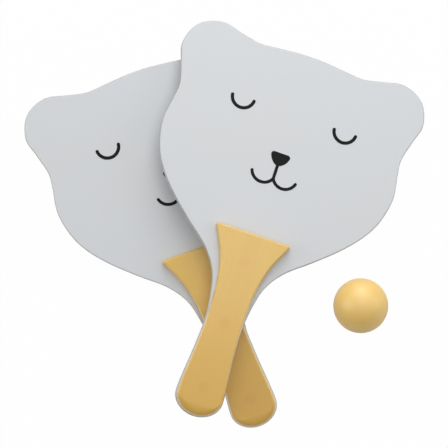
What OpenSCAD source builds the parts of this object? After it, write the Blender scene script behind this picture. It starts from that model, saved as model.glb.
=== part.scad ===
/* [Bat] */
// Length of a bat, handle end to ear tops
bat_l = 349.6; // [300:0.2:400]
// Width of a bat across its ears
ear_w = 234.8; // [200:0.2:260]
// Width of a bat across its cheeks
cheek_w = 223.4; // [190:0.2:235]
// Width of a bat where the ears meet the cheeks
waist_w = 215.8; // [180:0.2:222]
// Height of the ears over the crown of the head
ear_rise = 4; // [2:0.2:10]
// Thickness of the board
board_t = 8; // [5:0.5:12]
// Radius of the board's eased edges
ease_r = 1.2; // [0.4:0.1:2]

/* [Handle] */
// Length of a grip scale
grip_l = 171.6; // [150:0.2:190]
// Width of a grip scale at the fan
fan_w = 70.4; // [56:0.2:84]
// Width of a grip scale at the narrowest part of the hand
hand_w = 33.4; // [28:0.2:40]
// Width of a grip scale at its round end
palm_w = 42.4; // [36:0.2:50]
// Length of the half ellipse at the grip's round end
palm_l = 17.5; // [13:0.5:20]
// Thickness of a grip scale
grip_t = 8; // [5:0.5:12]
// Height of the straight wall under a grip's rounded edge
grip_wall = 1.8; // [0.8:0.1:3]
// Width of the rounding along a grip's sides and fan
side_round = 2.2; // [1.5:0.1:4]
// Width of the longer rounding at a grip's end
end_round = 11; // [6:0.5:13]
// Corner radius of the fan
fan_r = 2.4; // [2.2:0.1:6]
// Rim of board left showing round the grip
rim_w = 0.8; // [0.5:0.1:3]

/* [Dowels] */
// Diameter of a dowel
dowel_d = 8; // [5:0.5:10]
// Glue gap round a dowel, on the radius
glue_gap = 0.1; // [0.05:0.05:0.3]
// Depth of a dowel's end under the grip's face
dowel_sink = 0.2; // [0.1:0.1:0.5]
// Distance of the end dowel from the handle's end
end_dowel_in = 27; // [25:0.2:40]
// Distance of the middle dowel from the handle's end
middle_dowel_in = 87; // [70:0.2:100]
// Distance of the fan dowel from the fan's straight edge
fan_dowel_in = 27.6; // [20:0.2:40]

/* [Face print] */
// Distance of the print to the right of the bat's middle
print_shift = 1; // [-3:0.1:3]
// Distance by which the lower bat's print sits nearer its handle
lower_print_drop = 1.6; // [0:0.2:4]
// Thickness of the ink
ink_t = 0.15; // [0.1:0.05:0.4]
// Radius of a closed eye's curve
eye_r = 10.4; // [7:0.2:14]
// Distance between the centres of the eyes
eye_gap = 98.6; // [80:0.2:120]
// Width of the ink line of an eye
eye_line = 3.1; // [2:0.1:5]
// Width of the nose
nose_w = 18; // [16:0.2:24]
// Height of the nose
nose_h = 12.2; // [12:0.2:16]
// Radius of the nose's upper corners
nose_r = 2.6; // [1.5:0.1:4]
// Radius of the nose's lower end
nose_tip_r = 6; // [3:0.1:6]
// Radius of each half of the mouth
mouth_r = 11.3; // [9:0.1:14]
// Width of the ink line of the mouth
mouth_line = 2.9; // [2:0.1:4]

/* [Ball] */
// Diameter of the ball
ball_d = 50; // [40:0.5:60]
// Wall of the hollow ball
ball_wall = 4; // [2:0.5:8]

/* [Lay] */
// Turn of the lower bat's head to the left
lower_turn = 19.2; // [15:0.1:23]
// Turn of the upper bat's head to the right
upper_turn = 19; // [15:0.1:22]
// Distance of the crossing from the lower handle's end
lower_cross = 101.8; // [98:0.2:106]
// Distance of the crossing from the upper handle's end
upper_cross = 88.4; // [85:0.2:93]
// Crossing of the handles, left or right of the middle
cross_x = -0.7; // [-5:0.1:5]
// Crossing of the handles, above or below the middle
cross_y = -89.1; // [-93:0.1:-84]
// Ball, right of the middle
ball_x = 124.6; // [120:0.2:140]
// Ball, below the middle
ball_y = -74.6; // [-90:0.2:-70]
// Gap where one bat rests on the other
lie_gap = 0.3; // [0.2:0.05:0.6]

/* [Hidden] */

// Facets of true circles and of the nose's corners, and steps of the drawn curves
fine = 96;
corner_facets = 32;
curve_steps = 5;
arc_steps = 10;
round_steps = 5;
ink_steps = 20;
end_steps = 8;

// The grip's end sits one rim inside the board's end
palm_v = palm_l + rim_w;
fan_v = grip_l + rim_w;
crown_v = bat_l - ear_rise;

// Side of the grip from the palm to the fan corner
// [share of the step from hand to palm width, share of the way from palm to fan]
handle_shares = [[0.756, 0.119], [0.378, 0.238], [0.11, 0.352], [0.01, 0.452]];
// [share of the step from hand to fan width, share of the way from palm to fan]
flare_shares = [[0.02, 0.569], [0.076, 0.66], [0.2, 0.744], [0.384, 0.822], [0.584, 0.881], [0.77, 0.926]];

// Side of the board from the hand to the crown
// [share of the named width, share of the way from palm to ear tops]
neck_shares = [[1.154, 0.277], [1.471, 0.337], [2.209, 0.391]];
shoulder_shares = [[0.537, 0.445], [0.724, 0.502], [0.868, 0.558], [0.956, 0.614]];
cheek_share = 0.685;
waist_shares = [[1.008, 0.755], [1, 0.799]];
ear_shares = [[0.964, 0.859], [1, 0.907], [0.955, 0.959], [0.859, 0.989]];
ear_top_share = 0.73;
// [share of ear width, share of the ear's rise over the crown]
brow_shares = [[0.588, 0.06], [0.426, -0.88], [0.251, -0.46], [0.1, -0.06]];

// Place of each flat face's hub, from which its whole outline is seen
board_hub_share = 0.6;
grip_hub_share = 0.69;
// Largest part of the fan's corner radius that its rounding may take
round_limit_share = 0.94;

// Places and turns of the print
// [share of the way from palm to ear tops]
eye_share = 0.819;
nose_share = 0.685;
mouth_share = 0.644;
// Turns from an eye's lowest point to its ends, and from the mouth's lowest points to its outer ends
eye_half_turn = 84;
mouth_end_turn = 72;
// Turn below the level at which the mouth's two curves meet in the middle
mouth_join_turn = 26;

// Plain functions on points
function turned(p, a) = [p.x * cos(a) - p.y * sin(a), p.x * sin(a) + p.y * cos(a)];
function mirrored(half) = concat(half, [for (i = [len(half) - 2 : -1 : 1]) [-half[i].x, half[i].y]]);
function between(a, b, c, d, t) =
    b + ((c - a) * t + (2 * a - 5 * b + 4 * c - d) * t * t + (3 * b - a - 3 * c + d) * t * t * t) / 2;

// Points along an arc from one angle to another, both ends with it
function arc(centre, r, from, to, steps) =
    [for (k = [0 : steps]) let (a = from + (to - from) * k / steps) centre + r * [cos(a), sin(a)]];

// Points round a drawn line's end at angle a, from turn start, but not the two on its edges
function line_end(centre, r, line, a, start) =
    [for (k = [1 : end_steps - 1]) let (b = start - 180 * k / end_steps)
        centre + r * [cos(a), sin(a)] + line / 2 * [cos(b), sin(b)]];

// Smooth curve through all points but the first and last, which only steer it
function curve(p) =
    [for (i = [1 : len(p) - 3]) for (k = [0 : curve_steps - 1])
        between(p[i - 1], p[i], p[i + 1], p[i + 2], k / curve_steps)];

// Quarter of an ellipse from the handle's end up to its side
function end_arc(half_w, rise, top_v) =
    [for (k = [0 : arc_steps - 1]) let (a = 90 * k / arc_steps)
        [half_w * sin(a), top_v - rise * cos(a)]];

// Side points of the handle, which grip and board share, the board one rim further out
function handle_side(rim) =
    [for (s = handle_shares)
        [(hand_w + (palm_w - hand_w) * s.x) / 2 + rim, palm_v + (fan_v - palm_v) * s.y]];

// Half outline of a grip, handle end to the middle of the fan
fan_corner = [fan_w / 2 - fan_r, fan_v - fan_r];
corner_from = -28;
function grip_half() =
    let (palm = [palm_w / 2, palm_v],
         side = handle_side(0),
         flare = [for (s = flare_shares)
             [(hand_w + (fan_w - hand_w) * s.x) / 2, palm_v + (fan_v - palm_v) * s.y]],
         corner = [for (k = [0 : round_steps])
             let (a = corner_from + (90 - corner_from) * k / round_steps)
             fan_corner + fan_r * [cos(a), sin(a)]],
         steer_in = [side[0].x, 2 * palm.y - side[0].y])
    concat(end_arc(palm.x, palm_l, palm.y),
           curve(concat([steer_in, palm], side, flare, [corner[0], corner[1]])),
           corner,
           [[fan_corner.x / 2, fan_v], [0, fan_v]]);

// Half outline of a board, handle end to the middle of the crown
function up_board(share) = palm_v + (bat_l - palm_v) * share;
function board_half() =
    let (palm = [palm_w / 2 + rim_w, palm_v],
         side = handle_side(rim_w),
         neck = [for (s = neck_shares) [(hand_w / 2 + rim_w) * s.x, up_board(s.y)]],
         shoulder = [for (s = shoulder_shares) [cheek_w / 2 * s.x, up_board(s.y)]],
         waist = [for (s = waist_shares) [waist_w / 2 * s.x, up_board(s.y)]],
         ear = [for (s = ear_shares) [ear_w / 2 * s.x, up_board(s.y)]],
         brow = [for (s = brow_shares) [ear_w / 2 * s.x, crown_v + ear_rise * s.y]],
         steer_in = [side[0].x, 2 * palm.y - side[0].y],
         steer_out = [-brow[len(brow) - 1].x, brow[len(brow) - 1].y])
    concat(end_arc(palm.x, palm_l + rim_w, palm.y),
           curve(concat([steer_in, palm], side, neck, shoulder, [[cheek_w / 2, up_board(cheek_share)]],
                        waist, ear, [[ear_w / 2 * ear_top_share, bat_l]], brow, [[0, crown_v], steer_out])),
           [[0, crown_v]]);

board_ring = mirrored(board_half());
grip_ring = mirrored(grip_half());

// Outward direction at point i of a closed ring
function outward(ring, i) =
    let (n = len(ring), t = ring[(i + 1) % n] - ring[(i + n - 1) % n]) [t.y, -t.x] / norm(t);

// A ring drawn in by d[i] at point i and lifted to height z
function drawn_in(ring, d, z) =
    [for (i = [0 : len(ring) - 1]) let (p = ring[i] - outward(ring, i) * d[i]) [p.x, p.y, z]];

// Width of a grip's rounding at each point, widest at the handle's end
edge_round = min(side_round, fan_r * round_limit_share);
grip_rounds = [for (p = grip_ring)
    p.y < palm_v ? edge_round + (end_round - edge_round) * pow((palm_v - p.y) / palm_l, 2) : edge_round];

// Rings of a board, back to front, with its two edges eased
ease_turns = [0, 45, 90];
function even(d) = [for (p = board_ring) d];
board_rings = concat(
    [for (a = ease_turns) drawn_in(board_ring, even(ease_r * (1 - sin(a))), ease_r * (1 - cos(a)))],
    [for (a = ease_turns) drawn_in(board_ring, even(ease_r * (1 - cos(a))), board_t - ease_r * (1 - sin(a)))]);

// Rings of a grip from its glued face up to its flat land
grip_rings = concat(
    [drawn_in(grip_ring, 0 * grip_rounds, 0)],
    [for (k = [0 : round_steps]) let (a = 90 * k / round_steps)
        drawn_in(grip_ring, grip_rounds * (1 - cos(a)), grip_wall + (grip_t - grip_wall) * sin(a))]);
grip_land = grip_rings[len(grip_rings) - 1];

// Points from which the whole of each outline is seen, the middles of their flat faces
board_hub_v = bat_l * board_hub_share;
grip_hub_v = fan_v * grip_hub_share;

// The lower bat lies on the fan edge of its back grip and on its two ears
board_back = board_rings[0];
board_front = board_rings[len(board_rings) - 1];
land_v = fan_v - edge_round;
ear_v = max([for (p = board_back) p.y]);
lower_lean = atan(grip_t / (ear_v - land_v));
lower_h = (land_v - lower_cross) * sin(lower_lean) + grip_t * cos(lower_lean);

// Where a point of the lower bat comes to lie
function on_lower(p) =
    let (y = p.y - lower_cross,
         q = turned([p.x, y * cos(lower_lean) + p.z * sin(lower_lean)], lower_turn))
    [q.x, q.y, lower_h - y * sin(lower_lean) + p.z * cos(lower_lean)];

// The same point with its plan turned to face along the upper bat
function under_upper(p) = let (w = on_lower(p), q = turned(w, upper_turn)) [q.x, q.y, w.z];
lower_land_points = [for (p = grip_land) under_upper([p.x, p.y, board_t + grip_t])];
lower_front_points = [for (p = board_front) if (p.y > fan_v) under_upper(p)];

// Plane [slope to the right, slope to the head, height at the crossing] through three points
function plane_through(a, b, c) =
    let (n = cross(b - a, c - a), s = [-n.x / n.z, -n.y / n.z]) [s.x, s.y, a.z - s.x * a.x - s.y * a.y];

// The point that stands highest over a plane of the given slopes
function highest(points, s) =
    let (h = [for (p = points) p.z - s.x * p.x - s.y * p.y], top = max(h))
    [for (i = [0 : len(points) - 1]) if (h[i] == top) points[i]][0];

// Back face of the upper board: it rests by its grip on the lower grip, by its board on
// the lower ear, and by its own ear on the ground, found in a few steps from a first lean
first_slopes = [-0.055, -0.14];
settle_steps = 6;
function settled(s, steps) =
    let (roll = atan(-s.x), pitch = atan(s.y * cos(roll)), level = cos(roll) * cos(pitch),
         on_grip = [for (p = lower_land_points) p + [0, 0, (grip_t + lie_gap) / level]],
         on_ear = [for (p = lower_front_points) p + [0, 0, lie_gap / level]],
         on_ground = [for (p = board_back) let (y = p.y - upper_cross)
             [p.x * cos(roll) + y * sin(pitch) * sin(roll), y * cos(pitch), 0]],
         next = plane_through(highest(on_grip, s), highest(on_ear, s), highest(on_ground, s)))
    steps <= 1 ? next : settled(next, steps - 1);
upper_plane = settled(first_slopes, settle_steps);
upper_roll = atan(-upper_plane.x);
upper_pitch = atan(upper_plane.y * cos(upper_roll));

// Heights of the print on the board
eye_v = up_board(eye_share);
nose_v = up_board(nose_share);
mouth_v = up_board(mouth_share);
mouth_apart = mouth_r * cos(mouth_join_turn);
mouth_middle_v = mouth_v - mouth_r * sin(mouth_join_turn);

// Heights of the dowels
dowel_heights = [end_dowel_in, middle_dowel_in, fan_v - fan_dowel_in];

module lofted(rings, hub_v) {
    n = len(rings[0]);
    last = (len(rings) - 1) * n;
    foot = last + n;
    top = foot + 1;
    sides = [for (k = [0 : len(rings) - 2]) for (i = [0 : n - 1])
        let (j = (i + 1) % n, a = k * n + i, b = k * n + j, c = a + n, d = b + n)
        each [[a, d, b], [a, c, d]]];
    caps = [for (i = [0 : n - 1]) let (j = (i + 1) % n)
        each [[foot, i, j], [top, last + j, last + i]]];
    hubs = [[0, hub_v, rings[0][0].z], [0, hub_v, rings[len(rings) - 1][0].z]];
    polyhedron(points = concat([for (r = rings) each r], hubs), faces = concat(sides, caps));
}

module on_lower_bat() {
    translate([cross_x, cross_y, lower_h])
        rotate([-lower_lean, 0, lower_turn])
            translate([0, -lower_cross, 0]) children();
}

module on_upper_bat() {
    translate([cross_x, cross_y, upper_plane.z])
        rotate([upper_pitch, upper_roll, -upper_turn])
            translate([0, -upper_cross, 0]) children();
}

module lower_print() {
    on_lower_bat() translate([0, -lower_print_drop, 0]) children();
}

module on_front() { translate([0, 0, board_t]) children(); }
module on_back() { mirror([0, 0, 1]) children(); }

// Holes for the three dowels, right through a board or grip of thickness t
module dowel_holes(t) {
    for (v = dowel_heights)
        translate([0, v, -t]) cylinder(h = 3 * t, d = dowel_d + 2 * glue_gap, $fn = fine);
}

module board() {
    color([0.85, 0.855, 0.87]) difference() {
        lofted(board_rings, board_hub_v);
        dowel_holes(board_t);
    }
}

module grip() {
    color([0.85, 0.72, 0.46]) difference() {
        lofted(grip_rings, grip_hub_v);
        dowel_holes(grip_t);
    }
}

module dowel(number) {
    color([0.83, 0.70, 0.45])
        translate([0, dowel_heights[number], dowel_sink - grip_t])
            cylinder(h = board_t + 2 * (grip_t - dowel_sink), d = dowel_d, $fn = fine);
}

// Where the print lies on the board's face
module printed() {
    color([0.19, 0.18, 0.18]) translate([print_shift, 0, board_t]) children();
}

module eye(side) {
    from = 270 - eye_half_turn;
    to = 270 + eye_half_turn;
    outline = concat(arc([0, 0], eye_r - eye_line / 2, from, to, ink_steps),
                     line_end([0, 0], eye_r, eye_line, to, to + 180),
                     arc([0, 0], eye_r + eye_line / 2, to, from, ink_steps),
                     line_end([0, 0], eye_r, eye_line, from, from));
    printed() translate([side * eye_gap / 2, eye_v, 0]) linear_extrude(ink_t) polygon(outline);
}

// Nose with the line that runs down from it and ends in a point between the mouth's two curves
module nose() {
    nose_top = nose_v + nose_h / 2;
    tip_v = nose_v - nose_h / 2 + nose_tip_r;
    point_h = mouth_line / 2 * tan(mouth_join_turn);
    printed() linear_extrude(ink_t) {
        hull() {
            for (side = [-1, 1])
                translate([side * (nose_w / 2 - nose_r), nose_top - nose_r])
                    circle(nose_r, $fn = corner_facets);
            translate([0, tip_v]) circle(nose_tip_r, $fn = corner_facets);
        }
        polygon([[-mouth_line / 2, tip_v], [-mouth_line / 2, mouth_middle_v + point_h],
                 [0, mouth_middle_v],
                 [mouth_line / 2, mouth_middle_v + point_h], [mouth_line / 2, tip_v]]);
    }
}

// Two curves that meet under the line from the nose
module mouth() {
    centre = [mouth_apart, mouth_v];
    to = 270 + mouth_end_turn;
    notch = 180 + acos(mouth_apart / (mouth_r + mouth_line / 2));
    right = concat([[0, mouth_middle_v]],
                   arc(centre, mouth_r - mouth_line / 2, 180 + mouth_join_turn, to, ink_steps),
                   line_end(centre, mouth_r, mouth_line, to, to + 180),
                   arc(centre, mouth_r + mouth_line / 2, to, notch, ink_steps));
    printed() linear_extrude(ink_t) polygon(mirrored(right));
}

module ball() {
    color([0.95, 0.85, 0.62])
        translate([ball_x, ball_y, ball_d / 2]) difference() {
            sphere(d = ball_d, $fn = fine);
            sphere(d = ball_d - 2 * ball_wall, $fn = fine);
        }
}

on_lower_bat() board();  // lower_board
on_lower_bat() on_front() grip();  // lower_front_grip
on_lower_bat() on_back() grip();  // lower_back_grip
on_lower_bat() dowel(0);  // lower_end_dowel
on_lower_bat() dowel(1);  // lower_middle_dowel
on_lower_bat() dowel(2);  // lower_fan_dowel
lower_print() eye(-1);  // lower_left_eye
lower_print() eye(1);  // lower_right_eye
lower_print() nose();  // lower_nose
lower_print() mouth();  // lower_mouth
on_upper_bat() board();  // upper_board
on_upper_bat() on_front() grip();  // upper_front_grip
on_upper_bat() on_back() grip();  // upper_back_grip
on_upper_bat() dowel(0);  // upper_end_dowel
on_upper_bat() dowel(1);  // upper_middle_dowel
on_upper_bat() dowel(2);  // upper_fan_dowel
on_upper_bat() eye(-1);  // upper_left_eye
on_upper_bat() eye(1);  // upper_right_eye
on_upper_bat() nose();  // upper_nose
on_upper_bat() mouth();  // upper_mouth
ball();
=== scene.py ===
import math

import bmesh
import bpy
from bpy.props import FloatProperty, FloatVectorProperty, PointerProperty
from mathutils import Matrix, Vector
from mathutils.geometry import interpolate_bezier


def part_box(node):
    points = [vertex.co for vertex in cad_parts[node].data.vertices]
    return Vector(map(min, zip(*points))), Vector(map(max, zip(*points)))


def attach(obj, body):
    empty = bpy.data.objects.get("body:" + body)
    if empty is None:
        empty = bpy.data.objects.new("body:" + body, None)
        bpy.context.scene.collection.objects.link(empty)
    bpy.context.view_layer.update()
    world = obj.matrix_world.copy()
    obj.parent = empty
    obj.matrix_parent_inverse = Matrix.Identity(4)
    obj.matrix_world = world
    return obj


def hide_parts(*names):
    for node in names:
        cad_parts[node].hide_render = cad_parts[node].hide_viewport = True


bl_info = {
    "name": "Paddle ball game",
    "version": (1, 0, 0),
    "blender": (4, 5, 0),
    "location": "View3D > Sidebar > Paddle ball",
    "description": "Two painted wooden bats with wood-faced handles, and a rubber ball",
    "category": "Object",
}

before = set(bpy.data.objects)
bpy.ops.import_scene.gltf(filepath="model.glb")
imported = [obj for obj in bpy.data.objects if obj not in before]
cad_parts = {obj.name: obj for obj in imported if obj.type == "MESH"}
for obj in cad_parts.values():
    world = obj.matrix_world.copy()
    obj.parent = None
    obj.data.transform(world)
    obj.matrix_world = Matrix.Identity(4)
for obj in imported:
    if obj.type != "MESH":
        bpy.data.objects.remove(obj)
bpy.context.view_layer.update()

BATS = ("lower", "upper")
DOWELS = ("end", "middle", "fan")

# Shapes of a bat's outline, as shares of the named sizes
# Handle and fan: share of the step from hand to palm or fan width, share of the way up to the fan
HANDLE_SHARES = ((0.756, 0.119), (0.378, 0.238), (0.11, 0.352), (0.01, 0.452))
FLARE_SHARES = ((0.02, 0.569), (0.076, 0.66), (0.2, 0.744), (0.384, 0.822), (0.584, 0.881),
                (0.77, 0.926))
# Head: share of the named width, share of the way from palm to ear tops
NECK_SHARES = ((1.154, 0.277), (1.471, 0.337), (2.209, 0.391))
SHOULDER_SHARES = ((0.537, 0.445), (0.724, 0.502), (0.868, 0.558), (0.956, 0.614),
                   (1, 0.685))
WAIST_SHARES = ((1.008, 0.755), (1, 0.799))
EAR_SHARES = ((0.964, 0.859), (1, 0.907), (0.955, 0.959), (0.859, 0.989), (0.73, 1))
# Crown: share of ear width, share of the ear's rise over the crown
BROW_SHARES = ((0.588, 0.06), (0.426, -0.88), (0.251, -0.46), (0.1, -0.06))

# Places of the print, as shares of the way from palm to ear tops, and its turns in degrees
EYE_SHARE = 0.819
NOSE_SHARE = 0.685
MOUTH_SHARE = 0.644
EYE_HALF_TURN = 84
MOUTH_END_TURN = 72
MOUTH_JOIN_TURN = 26

# Turn in degrees at which a grip's flare runs into the fan's corner
FAN_CORNER_TURN = -28

# How finely the shapes are stepped
CURVE_STEPS = 8
ARC_STEPS = 16
ROUND_STEPS = 8
INK_STEPS = 40
ROUND_FACES = 64
EASE_STEPS = 5
FINE_EASE_STEPS = 2
BALL_SEGMENTS = 96
BALL_RINGS = 64
SMOOTH_TO = math.radians(35)

# Heights less than this apart, in metres, are one height, and points that agree to these decimals
# of a metre are one point
SAME = 1e-7
SAME_DECIMALS = 7

# Attributes of the pieces: a point's place in its bat's own frame, and how far down a board's
# eased edge it lies, from 0 on the flat faces to 1 on the wall
POINT = "bat_point"
RIM = "rim"

# Patterns in the finishes, in waves to the metre, the wood's across, along and through the bat
PAINT_CLOUDS = 11
PAINT_DULLING = 60
PAINT_PEEL = 900
WOOD_BANDS = (70, 3.0, 45)
WOOD_FIBRES = (420, 11, 260)
WOOD_PORES = (1900, 70, 1500)
PLUG_GRAIN = 1400
INK_FILM = 700
RUBBER_CLOUDS = 55
RUBBER_TOOTH = 1500

# Roughness of each finish, lowest and highest
PAINT_ROUGH = (0.42, 0.5)
WOOD_ROUGH = (0.3, 0.38)
PLUG_ROUGH = (0.32, 0.4)
INK_ROUGH = (0.55, 0.7)
RUBBER_ROUGH = (0.5, 0.56)

# Bump of each finish: depth in metres, and strength
PEEL_BUMP = (0.00002, 0.5)
FIBRE_BUMP = (0.00004, 0.4)
PLUG_BUMP = (0.00003, 0.4)
INK_BUMP = (0.00001, 0.4)
TOOTH_BUMP = (0.00003, 0.4)

# Gloss of each finish, by the shader's own names
LACQUER = {"IOR": 1.6, "Specular IOR Level": 0.65, "Coat Weight": 0.7, "Coat Roughness": 0.16}
INK_GLOSS = {"Specular IOR Level": 0.2}
RUBBER_GLOSS = {"IOR": 1.7, "Specular IOR Level": 1}

# Part of a noise's range that most of it fills
NOISE_RANGE = (0.3, 0.7)

# Painted shade on a board's edge, darker paint that stands in for the eased edge's shading: how
# far down it is at its darkest, where it begins to pale again, and the share of the painted shade
# left on the wall
EDGE_DARKEST = 0.4
EDGE_PALING = 0.7
WALL_SHARE = 0.35

# Range of bands and fibres together that makes the dark grain, range of the pores that shows as
# specks, and the specks' share
GRAIN_RANGE = (0.75, 1.3)
PORE_RANGE = (0.64, 0.74)
PORE_SHARE = 0.16

# Spot round a dowel: its inner and outer radius in dowel diameters, and its share
SPOT_INNER = 0.4
SPOT_OUTER = 0.85
SPOT_SHARE = 0.7

# Rings in a dowel's end: range of the noise that makes them, and their share
RING_RANGE = (0.35, 0.65)
RING_SHARE = 0.5

# Worn ink: range of the noise that shows it, and how much paler it is
WORN_RANGE = (0.35, 0.7)
WORN_PALER = 1.25

# The floor's own grey and roughness, the camera's sensor in millimetres and its reach in metres
FLOOR_GREY = 0.55
FLOOR_ROUGH = 0.9
SENSOR_MM = 36
VIEW_REACH = 20

# Lamps: name, turn round the object and rise over the floor in degrees, distance and size in
# metres, and whether glossy surfaces show it
LAMPS = (
    ("ceiling", 85, 85, 1.3, 1.6, False),
    ("softbox", 60, 62, 1.3, 0.9, True),
    ("window", 84, 24, 1.5, 1.1, True),
    ("right_fill", 8, 26, 1.5, 1.1, True),
    ("left_fill", 176, 26, 1.5, 1.1, True),
)


def tone(red, green, blue):
    """A colour named by its screen values, as the shaders want it."""
    return tuple(((c / 255 + 0.055) / 1.055) ** 2.4 for c in (red, green, blue))


def length(name, default, about=""):
    return FloatProperty(name=name, description=about or name, default=default, min=0,
                         unit="LENGTH", precision=5)


def power(name, default, about=""):
    return FloatProperty(name=name, description=about or name, default=default, min=0,
                         unit="POWER")


def colour(name, default, about=""):
    return FloatVectorProperty(name=name, description=about or name, default=default, size=3,
                               min=0, max=1, subtype="COLOR")


class PADDLE_PG_bat(bpy.types.PropertyGroup):
    """Sizes of a bat's board and of the grips glued to its handle"""

    bat_l: length("Length", 0.3496, "Handle end to ear tops")
    ear_w: length("Ear width", 0.2348)
    cheek_w: length("Cheek width", 0.2234)
    waist_w: length("Waist width", 0.2158, "Width where the ears meet the cheeks")
    ear_rise: length("Ear rise", 0.004, "Height of the ears over the crown")
    board_t: length("Board thickness", 0.008)
    ease_r: length("Eased edge", 0.0012, "Radius of the board's eased edges")
    grip_l: length("Grip length", 0.1716)
    fan_w: length("Fan width", 0.0704)
    hand_w: length("Hand width", 0.0334, "Narrowest width of a grip")
    palm_w: length("Palm width", 0.0424, "Width of a grip at its round end")
    palm_l: length("Palm length", 0.0175, "Length of the half ellipse at the round end")
    grip_t: length("Grip thickness", 0.008)
    grip_wall: length("Grip wall", 0.0018, "Straight wall under a grip's rounded edge")
    side_round: length("Side rounding", 0.0022)
    end_round: length("End rounding", 0.011)
    fan_r: length("Fan corner", 0.0024)
    rim_w: length("Rim", 0.0008, "Board left showing round the grip")
    inset: length("Inset", 0.00007, "Keeps the finely stepped curves inside the part's own")


class PADDLE_PG_dowel(bpy.types.PropertyGroup):
    """Sizes of the dowels through board and grips"""

    diameter: length("Diameter", 0.008)
    seam: length("Seam", 0.00001, "Hairline between a dowel and its hole")
    sink: length("Sink", 0.00001, "Depth of a dowel's end under the grip's face")
    break_r: length("Broken edge", 0.00005, "Bevel round a dowel's end")
    end_in: length("End dowel", 0.027, "From the handle's end")
    middle_in: length("Middle dowel", 0.087, "From the handle's end")
    fan_in: length("Fan dowel", 0.0276, "From the fan's straight edge")


class PADDLE_PG_face(bpy.types.PropertyGroup):
    """Sizes of the printed face"""

    ink_t: length("Ink thickness", 0.00015)
    ink_ease: length("Ink edge", 0.00005, "Bevel on the ink's upper edge")
    shift: length("Shift", 0.001, "Print to the right of the bat's middle")
    lower_drop: length("Lower drop", 0.0016, "Lower bat's print nearer its handle")
    eye_r: length("Eye radius", 0.0104)
    eye_gap: length("Eye gap", 0.0986)
    eye_line: length("Eye line", 0.0031)
    nose_w: length("Nose width", 0.018)
    nose_h: length("Nose height", 0.0122)
    nose_r: length("Nose corners", 0.0026)
    nose_tip_r: length("Nose tip", 0.006)
    nose_side_r: length("Nose side", 0.014, "Radius of the nose's full sides")
    mouth_r: length("Mouth radius", 0.0113)
    mouth_line: length("Mouth line", 0.0029)


class PADDLE_PG_ball(bpy.types.PropertyGroup):
    """Sizes of the ball's moulding line; its size and place are the frame's"""

    seam_w: length("Moulding line width", 0.0007)
    seam_rise: length("Moulding line rise", 0.00006)


class PADDLE_PG_finish(bpy.types.PropertyGroup):
    """Colours of the paint, wood, ink and rubber, with the painted shade on the boards' edges and
    toward the handles' ends
    """

    paint: colour("Paint", tone(206, 209, 213), "Pale grey of the boards")
    paint_warm: colour("Paint, warm patches", tone(206, 208, 210))
    # Painted shade: darker paint on the eased edges stands in for their shading
    rim_shade: colour("Painted shade on the rim", tone(166, 164, 157), "Darker paint as painted shade on a board's eased edges")
    wood: colour("Wood", tone(226, 186, 90), "Face of the grips")
    wood_dark: colour("Wood, dark grain", tone(222, 180, 84))
    # Painted light: the wood is paler at the fan and shades into this darker copy toward the
    # handle's end
    wood_end_shade: colour("Wood, handle end", tone(218, 172, 74), "Wood's painted shade at the handle's end")
    plug: colour("Dowel ends", tone(225, 175, 86))
    # Painted shade: the dowel ends shade into this darker copy toward the handle's end, as the
    # wood does
    plug_end_shade: colour("Dowel ends, painted shade at the handle end", tone(216, 164, 70))
    ink: colour("Ink", tone(22, 21, 22))
    rubber: colour("Rubber", tone(239, 196, 98))
    rubber_pale: colour("Rubber, pale", tone(241, 200, 106))


class PADDLE_PG_stage(bpy.types.PropertyGroup):
    """Camera, lamps and floor"""

    camera_h: length("Camera height", 1.668)
    view_w: length("Width in view", 0.4152, "Width of the ground that the camera sees")
    view_x: FloatProperty(name="View centre X", default=-0.0002, unit="LENGTH", precision=5,
                          description="Place of the camera across the object")
    view_y: FloatProperty(name="View centre Y", default=0.0, unit="LENGTH", precision=5,
                          description="Place of the camera along the object")
    sky: FloatProperty(name="Sky light", default=0.26, min=0,
                       description="Light that comes from all sides")
    ceiling: power("Ceiling", 5.8, "Wide even light from right over the object")
    softbox: power("Softbox", 1.9, "Box above the upper bat's head, which its handle reflects")
    window: power("Window panel", 11.8, "Low panel beyond the upper bat's head")
    right_fill: power("Right fill", 3.8)
    left_fill: power("Left fill", 6.4)
    floor_w: length("Floor width", 6)
    floor_drop: length("Floor drop", 0.0001, "Floor under the object's lowest point")
    floor_white: FloatProperty(name="Floor white", default=0.985, min=0, max=1,
                               description="Share of plain white in view")


# Outlines

def on_circle(centre, radius, angle):
    """Point of a circle at an angle in degrees."""
    turn = math.radians(angle)
    return Vector(centre) + radius * Vector((math.cos(turn), math.sin(turn)))


def arc(centre, radius, first, last, steps):
    """Points along an arc between two angles in degrees, both ends with it."""
    return [on_circle(centre, radius, first + (last - first) * k / steps)
            for k in range(steps + 1)]


def curve(points):
    """Smooth curve through all points but the first and last, which only steer it."""
    line = []
    for a, b, c, d in zip(points, points[1:], points[2:], points[3:]):
        stretch = interpolate_bezier(b, b + (c - a) / 6, c - (d - b) / 6, c, CURVE_STEPS + 1)
        line += stretch[:-1]
    return [Vector(p[:2]) for p in line]


def mirrored(half):
    """Closed outline from a half one that starts and ends on the middle line."""
    return half + [Vector((-p.x, p.y)) for p in reversed(half[1:-1])]


def palm_v(bat):
    """Height up the bat at which the round end meets the handle's sides."""
    return bat.palm_l + bat.rim_w


def fan_v(bat):
    """Height up the bat of the fan's straight edge."""
    return bat.grip_l + bat.rim_w


def up_board(bat, share):
    """Height up the bat at a share of the way from palm to ear tops."""
    return palm_v(bat) + (bat.bat_l - palm_v(bat)) * share


def end_arc(bat, half_w, rise):
    """Quarter of an ellipse from the handle's end up to its side."""
    turns = [math.radians(90 * k / ARC_STEPS) for k in range(ARC_STEPS)]
    return [Vector((half_w * math.sin(a), palm_v(bat) - rise * math.cos(a))) for a in turns]


def handle_side(bat, shares, widest, rim):
    """Side points of the handle, which grip and board share, the board one rim further out."""
    run = fan_v(bat) - palm_v(bat)
    return [Vector(((bat.hand_w + (widest - bat.hand_w) * s) / 2 + rim, palm_v(bat) + run * h))
            for s, h in shares]


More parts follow.
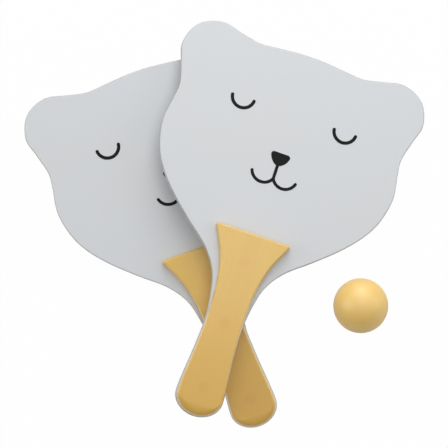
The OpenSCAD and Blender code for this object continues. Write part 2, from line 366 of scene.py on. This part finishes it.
def grip_outline(bat):
    palm = Vector((bat.palm_w / 2, palm_v(bat)))
    side = handle_side(bat, HANDLE_SHARES, bat.palm_w, 0)
    flare = handle_side(bat, FLARE_SHARES, bat.fan_w, 0)
    corner_centre = (bat.fan_w / 2 - bat.fan_r, fan_v(bat) - bat.fan_r)
    corner = arc(corner_centre, bat.fan_r, FAN_CORNER_TURN, 90, ROUND_STEPS)
    steer = Vector((side[0].x, 2 * palm.y - side[0].y))
    half = end_arc(bat, palm.x, bat.palm_l)
    half += curve([steer, palm, *side, *flare, corner[0], corner[1]]) + corner
    return mirrored([*half, Vector((0, fan_v(bat)))])


def board_outline(bat):
    def places(shares, width):
        return [Vector((width * s, up_board(bat, h))) for s, h in shares]

    crown = bat.bat_l - bat.ear_rise
    palm = Vector((bat.palm_w / 2 + bat.rim_w, palm_v(bat)))
    side = handle_side(bat, HANDLE_SHARES, bat.palm_w, bat.rim_w)
    brow = [Vector((bat.ear_w / 2 * s, crown + bat.ear_rise * h)) for s, h in BROW_SHARES]
    through = [palm, *side, *places(NECK_SHARES, bat.hand_w / 2 + bat.rim_w),
               *places(SHOULDER_SHARES, bat.cheek_w / 2), *places(WAIST_SHARES, bat.waist_w / 2),
               *places(EAR_SHARES, bat.ear_w / 2), *brow, Vector((0, crown))]
    steer_in = Vector((side[0].x, 2 * palm.y - side[0].y))
    steer_out = Vector((-brow[-1].x, brow[-1].y))
    half = end_arc(bat, palm.x, bat.palm_l + bat.rim_w) + curve([steer_in, *through, steer_out])
    return mirrored([*half, Vector((0, crown))])


def dowel_places(bat, dowel):
    """How far up the handle the end, middle and fan dowels stand."""
    return [dowel.end_in, dowel.middle_in, fan_v(bat) - dowel.fan_in]


def drawn_in(outline, widths):
    """The outline with each point moved inwards by its width."""
    ring = []
    for i, (point, width) in enumerate(zip(outline, widths)):
        along = (outline[(i + 1) % len(outline)] - outline[i - 1]).normalized()
        ring.append(point - Vector((along.y, -along.x)) * width)
    return ring


# Meshes

def loop_of(bm, outline, w):
    """Closed loop of edges along an outline at height w."""
    verts = [bm.verts.new((p.x, p.y, w)) for p in outline]
    return [bm.edges.new((a, b)) for a, b in zip(verts, verts[1:] + verts[:1])]


def eased(bm, edges, width, steps):
    """Rounds the edges over."""
    bmesh.ops.bevel(bm, geom=edges, offset=width, offset_type="OFFSET", segments=steps,
                    profile=0.5, affect="EDGES", material=-1)


def plate(outline, thickness, ease, steps, both_edges):
    """A flat plate with an outline, its upper edge eased, and its lower one too if asked."""
    bm = bmesh.new()
    face = bmesh.ops.contextual_create(bm, geom=loop_of(bm, outline, 0))["faces"]
    raised = bmesh.ops.extrude_face_region(bm, geom=face)["geom"]
    top = [v for v in raised if isinstance(v, bmesh.types.BMVert)]
    bmesh.ops.translate(bm, verts=top, vec=(0, 0, thickness))
    bmesh.ops.recalc_face_normals(bm, faces=bm.faces[:])
    levels = (0, thickness) if both_edges else (thickness,)
    rims = [e for e in bm.edges
            if any(all(abs(v.co.z - z) < SAME for v in e.verts) for z in levels)]
    eased(bm, rims, ease, steps)
    return bm


def close_with_holes(bm, rims, centres, radius):
    """Fills two facing flat rims, each (edges, height), round holes from one to the other."""
    holes = []
    for edges, w in rims:
        rings = []
        for v in centres:
            made = bmesh.ops.create_circle(bm, segments=ROUND_FACES, radius=radius,
                                           matrix=Matrix.Translation((0, v, w)))["verts"]
            rings.append(list({e for vert in made for e in vert.link_edges}))
        bmesh.ops.triangle_fill(bm, use_beauty=True, use_dissolve=False,
                                edges=edges + [e for ring in rings for e in ring])
        holes.append(rings)
    for low, high in zip(*holes):
        bmesh.ops.bridge_loops(bm, edges=low + high)
    bmesh.ops.recalc_face_normals(bm, faces=bm.faces[:])


def drill(bm, centres, radius):
    """Opens the plate's two big flat faces and closes them again round the holes."""
    flats = sorted(bm.faces, key=lambda f: f.calc_area())[-2:]
    rims = [(list(f.edges), f.calc_center_median().z) for f in flats]
    bmesh.ops.delete(bm, geom=flats, context="FACES_ONLY")
    close_with_holes(bm, rims, centres, radius)


def board_mesh(bat, dowel):
    """A bat's board with the dowels' holes in its handle."""
    outline = board_outline(bat)
    outline = drawn_in(outline, [bat.inset] * len(outline))
    bm = plate(outline, bat.board_t, bat.ease_r, EASE_STEPS, both_edges=True)
    drill(bm, dowel_places(bat, dowel), dowel.diameter / 2 + dowel.seam)
    return bm


def grip_mesh(bat, dowel, base, way):
    """A grip scale that stands on height base, upwards or downwards."""
    outline = grip_outline(bat)
    widths = []
    for p in outline:
        down = max(0, (palm_v(bat) - p.y) / bat.palm_l)
        widths.append(bat.side_round + (bat.end_round - bat.side_round) * down ** 2)
    bm = bmesh.new()
    face_t = bat.grip_t - bat.inset
    loops = [loop_of(bm, outline, base)]
    for k in range(ROUND_STEPS + 1):
        turn = math.radians(90 * k / ROUND_STEPS)
        height = bat.grip_wall + (face_t - bat.grip_wall) * math.sin(turn)
        ring = drawn_in(outline, [w * (1 - math.cos(turn)) for w in widths])
        loops.append(loop_of(bm, ring, base + way * height))
    for low, high in zip(loops, loops[1:]):
        bmesh.ops.bridge_loops(bm, edges=low + high)
    rims = [(loops[0], base), (loops[-1], base + way * face_t)]
    close_with_holes(bm, rims, dowel_places(bat, dowel), dowel.diameter / 2 + dowel.seam)
    return bm


def dowel_mesh(bat, dowel, v):
    """A dowel that stands at height v up the handle, all but through both grips."""
    out = bat.grip_t - bat.inset - dowel.sink
    low, high = -out, bat.board_t + out
    bm = bmesh.new()
    bmesh.ops.create_cone(bm, cap_ends=True, segments=ROUND_FACES, radius1=dowel.diameter / 2,
                          radius2=dowel.diameter / 2, depth=high - low,
                          matrix=Matrix.Translation((0, v, (low + high) / 2)))
    rims = [e for e in bm.edges if abs(e.verts[0].co.z - e.verts[1].co.z) < SAME]
    eased(bm, rims, dowel.break_r, FINE_EASE_STEPS)
    return bm


# Printed face

def line_end(centre, radius, line, angle, first):
    """Points round a drawn line's end, without the two that lie on its edges."""
    middle = on_circle(centre, radius, angle)
    return arc(middle, line / 2, first, first - 180, ARC_STEPS)[1:-1]


def eye_outline(bat, face, side):
    """A closed eye: a drawn arc with round ends."""
    centre = (side * face.eye_gap / 2, up_board(bat, EYE_SHARE))
    first, last = 270 - EYE_HALF_TURN, 270 + EYE_HALF_TURN
    inner, outer = face.eye_r - face.eye_line / 2, face.eye_r + face.eye_line / 2
    return (arc(centre, inner, first, last, INK_STEPS)
            + line_end(centre, face.eye_r, face.eye_line, last, last + 180)
            + arc(centre, outer, last, first, INK_STEPS)
            + line_end(centre, face.eye_r, face.eye_line, first, first))


def mouth_middle(bat, face):
    """Where the mouth's two curves and the line from the nose meet."""
    return up_board(bat, MOUTH_SHARE) - face.mouth_r * math.sin(math.radians(MOUTH_JOIN_TURN))


def mouth_outline(bat, face):
    """Two drawn arcs that meet under the nose."""
    apart = face.mouth_r * math.cos(math.radians(MOUTH_JOIN_TURN))
    centre = (apart, up_board(bat, MOUTH_SHARE))
    last = 270 + MOUTH_END_TURN
    inner, outer = face.mouth_r - face.mouth_line / 2, face.mouth_r + face.mouth_line / 2
    notch = 180 + math.degrees(math.acos(apart / outer))
    return mirrored([Vector((0, mouth_middle(bat, face)))]
                    + arc(centre, inner, 180 + MOUTH_JOIN_TURN, last, INK_STEPS)
                    + line_end(centre, face.mouth_r, face.mouth_line, last, last + 180)
                    + arc(centre, outer, last, notch, INK_STEPS))


def nose_outline(bat, face):
    """Full-sided nose and the line under it, which ends in a point between the mouth's curves."""
    nose_v = up_board(bat, NOSE_SHARE)
    top = nose_v + face.nose_h / 2
    corner = Vector((face.nose_w / 2 - face.nose_r, top - face.nose_r))
    tip = Vector((0, nose_v - face.nose_h / 2 + face.nose_tip_r))
    slope = corner - tip
    to_corner, to_tip = face.nose_side_r - face.nose_r, face.nose_side_r - face.nose_tip_r
    along = (slope.length ** 2 + to_tip ** 2 - to_corner ** 2) / (2 * slope.length)
    aside = math.sqrt(to_tip ** 2 - along ** 2)
    way = slope.normalized()
    side = tip + way * along + Vector((-way.y, way.x)) * aside
    upper, lower = (math.degrees(math.atan2(p.y - side.y, p.x - side.x)) for p in (corner, tip))
    half_line = face.mouth_line / 2
    low = -90 + math.degrees(math.asin(half_line / face.nose_tip_r))
    join = mouth_middle(bat, face)
    point_h = half_line * math.tan(math.radians(MOUTH_JOIN_TURN))
    half = ([Vector((0, top))] + arc(corner, face.nose_r, 90, upper, ARC_STEPS)
            + arc(side, face.nose_side_r, upper, lower, ARC_STEPS)[1:-1]
            + arc(tip, face.nose_tip_r, lower, low, ARC_STEPS)
            + [Vector((half_line, join + point_h)), Vector((0, join))])
    return mirrored(half)


# Places of the bats, taken from the frame

def middle_of(points):
    """The mean of some points."""
    return sum(points, Vector()) / len(points)


def bat_place(side, bat, dowel):
    """From a bat's own frame to the row's: X across, Y to the head, Z off the board's back."""
    centres, axes = [], []
    for name in DOWELS:
        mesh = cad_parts[f"{side}_{name}_dowel"].data
        places = {tuple(round(x, SAME_DECIMALS) for x in v.co) for v in mesh.vertices}
        points = [Vector(p) for p in places]
        centre = middle_of(points)
        above = [p for p in points if p.z > centre.z]
        below = [p for p in points if p.z < centre.z]
        centres.append(centre)
        axes.append(middle_of(above) - middle_of(below))
    out = middle_of(axes).normalized()
    up = centres[2] - centres[0]
    up = (up - out * up.dot(out)).normalized()
    origin = centres[0] - up * dowel.end_in - out * bat.board_t / 2
    across = up.cross(out)
    return Matrix.Translation(origin) @ Matrix((across, up, out)).transposed().to_4x4()


def finished(name, bm, body, material, replaced, place, rim=None, smooth=True):
    """Makes the piece, keeps its points in the bat's frame, and puts it in the row's frame."""
    mesh = bpy.data.meshes.new(name)
    bm.to_mesh(mesh)
    bm.free()
    own = mesh.attributes.new(POINT, "FLOAT_VECTOR", "POINT")
    own.data.foreach_set("vector", [x for v in mesh.vertices for x in v.co])
    if rim:
        edge = mesh.attributes.new(RIM, "FLOAT", "POINT")
        edge.data.foreach_set("value", [rim(v.co) for v in mesh.vertices])
    mesh.transform(place)
    mesh.shade_smooth()
    mesh.set_sharp_from_angle(angle=SMOOTH_TO)
    mesh.materials.append(material)
    piece = bpy.data.objects.new(name, mesh)
    bpy.context.scene.collection.objects.link(piece)
    if smooth:
        weighted = piece.modifiers.new("even shading", "WEIGHTED_NORMAL")
        weighted.mode = "FACE_AREA"
        weighted.keep_sharp = True
    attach(piece, body)
    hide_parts(*replaced)


# Materials

def new_material(name):
    """A material with its node tree and shader."""
    made = bpy.data.materials.new(name)
    made.use_nodes = True
    return made, made.node_tree, made.node_tree.nodes["Principled BSDF"]


def is_socket(value):
    return isinstance(value, bpy.types.NodeSocket)


def fill(tree, socket, value):
    """Links the socket to another one, or sets its value."""
    if is_socket(value):
        tree.links.new(value, socket)
    else:
        socket.default_value = value


def add(tree, kind, settings=None, **inputs):
    """A node with its settings and inputs: an input is a value, or a socket to link."""
    node = tree.nodes.new(kind)
    for name, value in (settings or {}).items():
        setattr(node, name, value)
    for name, value in inputs.items():
        fill(tree, node.inputs[name.replace("_", " ")], value)
    return node


def reckoned(tree, operation, first, second, kind="ShaderNodeMath", result="Value"):
    """What two values make, each a value or a socket."""
    node = add(tree, kind, {"operation": operation})
    fill(tree, node.inputs[0], first)
    fill(tree, node.inputs[1], second)
    return node.outputs[result]


def noise(tree, place, scale, detail=2.0, roughness=0.5):
    """Noise from 0 to 1."""
    return add(tree, "ShaderNodeTexNoise", Vector=place, Scale=scale, Detail=detail,
               Roughness=roughness).outputs["Fac"]


def ranged(tree, value, low, high, to_low, to_high, smooth=False):
    """A value taken from one range to another, and held at its ends."""
    kind = "SMOOTHSTEP" if smooth else "LINEAR"
    return add(tree, "ShaderNodeMapRange", {"interpolation_type": kind}, Value=value,
               From_Min=low, From_Max=high, To_Min=to_low, To_Max=to_high).outputs["Result"]


def from_noise(tree, value, low, high):
    """Noise taken from the part of its range that most of it fills to another range."""
    return ranged(tree, value, *NOISE_RANGE, low, high)


def blended(tree, share, first, second):
    """Colour between two, each a colour or a socket."""
    node = add(tree, "ShaderNodeMix", {"data_type": "RGBA"})
    named = {s.identifier: s for s in node.inputs}
    fill(tree, named["Factor_Float"], share)
    for key, value in (("A_Color", first), ("B_Color", second)):
        fill(tree, named[key], value if is_socket(value) else (*value, 1))
    return next(s for s in node.outputs if s.identifier == "Result_Color")


def coloured(tree, shader, colour_socket, roughness_socket):
    """Gives the shader its colour and its roughness."""
    tree.links.new(colour_socket, shader.inputs["Base Color"])
    tree.links.new(roughness_socket, shader.inputs["Roughness"])


def bumped(tree, shader, height, depth, strength):
    """Gives the shader a bump."""
    bump = add(tree, "ShaderNodeBump", Height=height, Distance=depth, Strength=strength)
    tree.links.new(bump.outputs["Normal"], shader.inputs["Normal"])


def object_place(tree):
    return add(tree, "ShaderNodeTexCoord").outputs["Object"]


def attribute(tree, name, result):
    return add(tree, "ShaderNodeAttribute", {"attribute_name": name}).outputs[result]


def stretched(tree, place, scale):
    """The place with its axes scaled, so that noise on it runs out along the grain."""
    return add(tree, "ShaderNodeMapping", Vector=place, Scale=scale).outputs["Vector"]


def glossed(shader, values):
    """Sets values on the shader's own sockets."""
    for name, value in values.items():
        shader.inputs[name].default_value = value


def paint_material(finish):
    """Sprayed satin paint: faint clouding, orange peel, and painted shade on the eased edges, as
    darker paint.
    """
    made, tree, shader = new_material("pale grey satin paint")
    place = object_place(tree)
    rim = attribute(tree, RIM, "Fac")
    cloud = from_noise(tree, noise(tree, place, PAINT_CLOUDS), 0, 1)
    body = blended(tree, cloud, finish.paint, finish.paint_warm)
    # Painted shade: the eased edges turn darker partway down, then pale again on the wall
    shade_growing = ranged(tree, rim, 0, EDGE_DARKEST, 0, 1)
    shade_fading = ranged(tree, rim, EDGE_PALING, 1, 1, WALL_SHARE)
    edge = reckoned(tree, "MULTIPLY", shade_growing, shade_fading)
    coloured(tree, shader, blended(tree, edge, body, finish.rim_shade),
             from_noise(tree, noise(tree, place, PAINT_DULLING), *PAINT_ROUGH))
    bumped(tree, shader, noise(tree, place, PAINT_PEEL, detail=1.5), *PEEL_BUMP)
    return made


def painted_end_shade(tree, place, bat):
    """Share of the painted shade along the grip, which makes it darker from the fan to the
    handle's end as the light falls off: none at the fan, all at the handle's end.
    """
    along = add(tree, "ShaderNodeSeparateXYZ", Vector=place).outputs["Y"]
    return ranged(tree, along, 0, fan_v(bat), 1, 0, smooth=True)


def dowel_spots(tree, place, bat, dowel):
    """Strength of the faint spot in the wood round each dowel."""
    flat = reckoned(tree, "MULTIPLY", place, (1, 1, 0), "ShaderNodeVectorMath", "Vector")
    reaches = [reckoned(tree, "DISTANCE", flat, (0, v, 0), "ShaderNodeVectorMath")
               for v in dowel_places(bat, dowel)]
    near = reaches[0]
    for reach in reaches[1:]:
        near = reckoned(tree, "MINIMUM", near, reach)
    return ranged(tree, near, dowel.diameter * SPOT_INNER, dowel.diameter * SPOT_OUTER,
                  SPOT_SHARE, 0, smooth=True)


def wood_material(finish, bat, dowel):
    """Pale yellow wood under matte lacquer, its grain along the handle, with its dowels' spots,
    and painted shade that darkens it from the fan to the handle's end.
    """
    made, tree, shader = new_material("yellow handle wood")
    place = attribute(tree, POINT, "Vector")
    bands = noise(tree, stretched(tree, place, WOOD_BANDS), 1, detail=3)
    fibres = noise(tree, stretched(tree, place, WOOD_FIBRES), 1, detail=4, roughness=0.65)
    pores = noise(tree, stretched(tree, place, WOOD_PORES), 1)
    grain = ranged(tree, reckoned(tree, "ADD", bands, fibres), *GRAIN_RANGE, 0, 1)
    # Painted light: paler at the fan, shaded darker toward the handle's end
    shaded_share = painted_end_shade(tree, place, bat)
    figured = blended(tree, grain, finish.wood, finish.wood_dark)
    speck = ranged(tree, pores, *PORE_RANGE, 0, PORE_SHARE)
    body = blended(tree, speck, blended(tree, shaded_share, figured, finish.wood_end_shade), finish.wood_dark)
    plug = blended(tree, shaded_share, finish.plug, finish.plug_end_shade)
    coloured(tree, shader, blended(tree, dowel_spots(tree, place, bat, dowel), body, plug),
             from_noise(tree, fibres, *WOOD_ROUGH))
    glossed(shader, LACQUER)
    bumped(tree, shader, fibres, *FIBRE_BUMP)
    return made


def plug_material(finish, bat):
    """End grain of a dowel under the same lacquer, with the same painted shade toward the handle's
    end.
    """
    made, tree, shader = new_material("dowel end grain")
    place = attribute(tree, POINT, "Vector")
    rings = noise(tree, place, PLUG_GRAIN, detail=3)
    grain = ranged(tree, rings, *RING_RANGE, 0, RING_SHARE)
    # Painted shade: darker toward the handle's end, as on the wood
    shaded_share = painted_end_shade(tree, place, bat)
    plug = blended(tree, shaded_share, finish.plug, finish.plug_end_shade)
    wood = blended(tree, shaded_share, finish.wood, finish.wood_end_shade)
    coloured(tree, shader, blended(tree, grain, plug, wood),
             ranged(tree, grain, 0, RING_SHARE, *PLUG_ROUGH))
    glossed(shader, LACQUER)
    bumped(tree, shader, grain, *PLUG_BUMP)
    return made


def ink_material(finish):
    """Screen-printed ink, a little uneven."""
    made, tree, shader = new_material("black printing ink")
    film = noise(tree, object_place(tree), INK_FILM)
    worn = tuple(c * WORN_PALER for c in finish.ink)
    coloured(tree, shader, blended(tree, ranged(tree, film, *WORN_RANGE, 0, 1), finish.ink, worn),
             from_noise(tree, film, *INK_ROUGH))
    glossed(shader, INK_GLOSS)
    bumped(tree, shader, film, *INK_BUMP)
    return made


def rubber_material(finish):
    """Moulded rubber with a soft sheen and a fine tooth."""
    made, tree, shader = new_material("cream rubber")
    place = object_place(tree)
    cloud = from_noise(tree, noise(tree, place, RUBBER_CLOUDS, detail=3), 0, 1)
    tooth = noise(tree, place, RUBBER_TOOTH)
    coloured(tree, shader, blended(tree, cloud, finish.rubber, finish.rubber_pale),
             from_noise(tree, tooth, *RUBBER_ROUGH))
    glossed(shader, RUBBER_GLOSS)
    bumped(tree, shader, tooth, *TOOTH_BUMP)
    return made


def stage_material(white):
    """White floor that keeps the object's shadow, and is plain white in view and reflections."""
    made, tree, shader = new_material("white floor")
    shader.inputs["Base Color"].default_value = (FLOOR_GREY, FLOOR_GREY, FLOOR_GREY, 1)
    shader.inputs["Roughness"].default_value = FLOOR_ROUGH
    path = add(tree, "ShaderNodeLightPath")
    seen = path.outputs["Is Camera Ray"]
    for other in ("Is Glossy Ray", "Is Transmission Ray"):
        seen = reckoned(tree, "MAXIMUM", seen, path.outputs[other])
    share = reckoned(tree, "MULTIPLY", seen, white)
    plain = add(tree, "ShaderNodeEmission", Color=(1, 1, 1, 1), Strength=1.0)
    mixed = add(tree, "ShaderNodeMixShader", Fac=share)
    tree.links.new(shader.outputs["BSDF"], mixed.inputs[1])
    tree.links.new(plain.outputs["Emission"], mixed.inputs[2])
    tree.links.new(mixed.outputs["Shader"], tree.nodes["Material Output"].inputs["Surface"])
    return made


# Lamps

def soft_lamp(scene, name, turn, rise, far, size, glossy, watts):
    """A round soft lamp that faces the middle of the floor and isn't seen itself."""
    turn, rise = math.radians(turn), math.radians(rise)
    around = Vector((math.cos(turn), math.sin(turn), 0)) * math.cos(rise)
    towards = around + Vector((0, 0, math.sin(rise)))
    lamp = bpy.data.lights.new(name, "AREA")
    lamp.shape = "DISK"
    lamp.size = size
    lamp.energy = watts
    placed = bpy.data.objects.new(name, lamp)
    facing = towards.to_track_quat("Z", "Y").to_matrix().to_4x4()
    placed.matrix_world = Matrix.Translation(towards * far) @ facing
    placed.visible_camera = False
    placed.visible_glossy = glossy
    scene.collection.objects.link(placed)


# Operators

class PADDLE_OT_boards(bpy.types.Operator):
    """Make both painted boards"""

    bl_idname = "paddle.boards"
    bl_label = "Boards"

    def execute(self, context):
        bat, dowel = context.scene.paddle_bat, context.scene.paddle_dowel
        paint = paint_material(context.scene.paddle_finish)

        def rim(p):
            return min(1, min(p.z, bat.board_t - p.z) / bat.ease_r)

        for side in BATS:
            finished(f"{side}_painted_board", board_mesh(bat, dowel), f"{side}_bat",
                     paint, [f"{side}_board"], bat_place(side, bat, dowel), rim)
        return {"FINISHED"}


class PADDLE_OT_grips(bpy.types.Operator):
    """Make the front and back grips of both bats"""

    bl_idname = "paddle.grips"
    bl_label = "Grips"

    def execute(self, context):
        bat, dowel = context.scene.paddle_bat, context.scene.paddle_dowel
        wood = wood_material(context.scene.paddle_finish, bat, dowel)
        for side in BATS:
            for face, base, way in (("front", bat.board_t, 1), ("back", 0, -1)):
                finished(f"{side}_{face}_wood_grip", grip_mesh(bat, dowel, base, way),
                         f"{side}_bat", wood, [f"{side}_{face}_grip"],
                         bat_place(side, bat, dowel))
        return {"FINISHED"}


class PADDLE_OT_dowels(bpy.types.Operator):
    """Make the three dowels of both bats"""

    bl_idname = "paddle.dowels"
    bl_label = "Dowels"

    def execute(self, context):
        bat, dowel = context.scene.paddle_bat, context.scene.paddle_dowel
        plug = plug_material(context.scene.paddle_finish, bat)
        for side in BATS:
            for name, v in zip(DOWELS, dowel_places(bat, dowel)):
                finished(f"{side}_{name}_wood_dowel", dowel_mesh(bat, dowel, v),
                         f"{side}_bat", plug, [f"{side}_{name}_dowel"],
                         bat_place(side, bat, dowel))
        return {"FINISHED"}


class PADDLE_OT_faces(bpy.types.Operator):
    """Print the sleeping face on both boards"""

    bl_idname = "paddle.faces"
    bl_label = "Printed faces"

    def execute(self, context):
        scene = context.scene
        bat, face = scene.paddle_bat, scene.paddle_face
        ink = ink_material(scene.paddle_finish)
        outlines = {"left_eye": eye_outline(bat, face, -1), "right_eye": eye_outline(bat, face, 1),
                    "nose": nose_outline(bat, face), "mouth": mouth_outline(bat, face)}
        for side in BATS:
            drop = face.lower_drop if side == "lower" else 0
            place = bat_place(side, bat, scene.paddle_dowel)
            place = place @ Matrix.Translation((face.shift, -drop, bat.board_t))
            for name, outline in outlines.items():
                film = plate(outline, face.ink_t, face.ink_ease, FINE_EASE_STEPS,
                             both_edges=False)
                finished(f"{side}_{name}_print", film, f"{side}_bat", ink,
                         [f"{side}_{name}"], place)
        return {"FINISHED"}


class PADDLE_OT_ball(bpy.types.Operator):
    """Make the rubber ball with its fine moulding line"""

    bl_idname = "paddle.ball"
    bl_label = "Ball"

    def execute(self, context):
        size = context.scene.paddle_ball
        low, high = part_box("ball")
        radius = (high.z - low.z) / 2
        bm = bmesh.new()
        bmesh.ops.create_uvsphere(bm, u_segments=BALL_SEGMENTS, v_segments=BALL_RINGS,
                                  radius=radius)
        for side in (-1, 1):
            bmesh.ops.bisect_plane(bm, geom=bm.verts[:] + bm.edges[:] + bm.faces[:],
                                   plane_co=(0, 0, side * size.seam_w / 2), plane_no=(0, 0, 1))
        ridge = [v for v in bm.verts if abs(v.co.z) < SAME]
        bmesh.ops.scale(bm, verts=ridge, vec=(1 + size.seam_rise / radius,) * 2 + (1,))
        rubber = rubber_material(context.scene.paddle_finish)
        finished("rubber_ball", bm, "ball", rubber, ["ball"],
                 Matrix.Translation((low + high) / 2), smooth=False)
        return {"FINISHED"}


class PADDLE_OT_stage(bpy.types.Operator):
    """Set the floor, lamps, sky and camera"""

    bl_idname = "paddle.stage"
    bl_label = "Stage"

    def execute(self, context):
        scene = context.scene
        stage = scene.paddle_stage
        bm = bmesh.new()
        bmesh.ops.create_grid(bm, x_segments=1, y_segments=1, size=stage.floor_w / 2,
                              matrix=Matrix.Translation((0, 0, -stage.floor_drop)))
        mesh = bpy.data.meshes.new("floor")
        bm.to_mesh(mesh)
        bm.free()
        mesh.materials.append(stage_material(stage.floor_white))
        floor = bpy.data.objects.new("floor", mesh)
        scene.collection.objects.link(floor)

        for name, *place in LAMPS:
            soft_lamp(scene, name, *place, getattr(stage, name))

        world = bpy.data.worlds.new("white room")
        world.use_nodes = True
        tree = world.node_tree
        path = add(tree, "ShaderNodeLightPath")
        seen = ranged(tree, path.outputs["Is Camera Ray"], 0, 1, stage.sky, 1)
        background = tree.nodes["Background"]
        background.inputs["Color"].default_value = (1, 1, 1, 1)
        tree.links.new(seen, background.inputs["Strength"])
        scene.world = world

        lens = bpy.data.cameras.new("camera")
        lens.sensor_width = SENSOR_MM
        lens.lens = lens.sensor_width * stage.camera_h / stage.view_w
        lens.clip_end = VIEW_REACH
        camera = bpy.data.objects.new("camera", lens)
        camera.location = (stage.view_x, stage.view_y, stage.camera_h)
        scene.collection.objects.link(camera)
        scene.camera = camera
        scene.view_settings.view_transform = "Standard"
        return {"FINISHED"}


class PADDLE_PT_panel(bpy.types.Panel):
    """Lists the steps that dress the game"""

    bl_idname = "PADDLE_PT_panel"
    bl_label = "Paddle ball game"
    bl_space_type = "VIEW_3D"
    bl_region_type = "UI"
    bl_category = "Paddle ball"

    def draw(self, context):
        for operator in OPERATORS:
            self.layout.operator(operator.bl_idname)
        for name in GROUPS:
            group = getattr(context.scene, name)
            box = self.layout.box()
            for key in group.bl_rna.properties.keys():
                if key not in ("rna_type", "name"):
                    box.prop(group, key)


GROUPS = {
    "paddle_bat": PADDLE_PG_bat,
    "paddle_dowel": PADDLE_PG_dowel,
    "paddle_face": PADDLE_PG_face,
    "paddle_ball": PADDLE_PG_ball,
    "paddle_finish": PADDLE_PG_finish,
    "paddle_stage": PADDLE_PG_stage,
}
OPERATORS = (PADDLE_OT_boards, PADDLE_OT_grips, PADDLE_OT_dowels, PADDLE_OT_faces,
             PADDLE_OT_ball, PADDLE_OT_stage)


def register():
    for kind in (*GROUPS.values(), *OPERATORS, PADDLE_PT_panel):
        bpy.utils.register_class(kind)
    for name, kind in GROUPS.items():
        setattr(bpy.types.Scene, name, PointerProperty(type=kind))


def unregister():
    for name in GROUPS:
        delattr(bpy.types.Scene, name)
    for kind in (PADDLE_PT_panel, *reversed(OPERATORS), *reversed(GROUPS.values())):
        bpy.utils.unregister_class(kind)


def main():
    register()
    bpy.ops.paddle.boards()
    bpy.ops.paddle.grips()
    bpy.ops.paddle.dowels()
    bpy.ops.paddle.faces()
    bpy.ops.paddle.ball()
    bpy.ops.paddle.stage()


if __name__ == "__main__":
    main()
